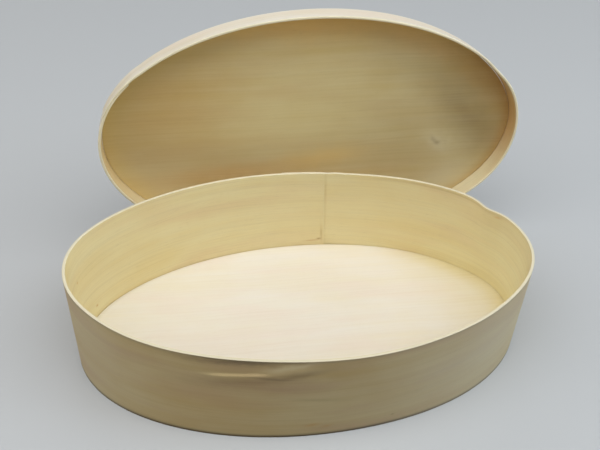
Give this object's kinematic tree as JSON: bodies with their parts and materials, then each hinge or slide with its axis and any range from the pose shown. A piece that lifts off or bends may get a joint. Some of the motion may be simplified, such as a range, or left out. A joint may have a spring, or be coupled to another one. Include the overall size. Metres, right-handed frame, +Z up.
{
  "type": "oval veneer box",
  "caption": "Shallow oval box of bent wood veneer: an open tray with a lapped seam, and its matching shallow lid standing open behind it.",
  "frame": {"origin": "middle of the tray's underside, on the surface that the tray stands on", "axes": "+X along the tray's long axis, +Y from the tray's front to the lid that stands behind it, +Z up"},
  "size_m": [0.2594, 0.1656, 0.1469],
  "materials": {
    "tray_strip": "bare pale veneer, matt",
    "tray_panel": "bare pale veneer, matt",
    "lid_strip": "bare pale veneer, matt",
    "lid_panel": "bare pale veneer, matt"
  },
  "bodies": {
    "tray": {"tray_band": "tray_strip", "tray_floor": "tray_panel"},
    "lid": {"lid_band": "lid_strip", "lid_top": "lid_panel"}
  },
  "joints": [
    {"name": "lid_lift", "type": "slide", "parent": "tray", "child": "lid", "axis": [0, 0, 1], "range_m": [0, 0.07]}
  ]
}
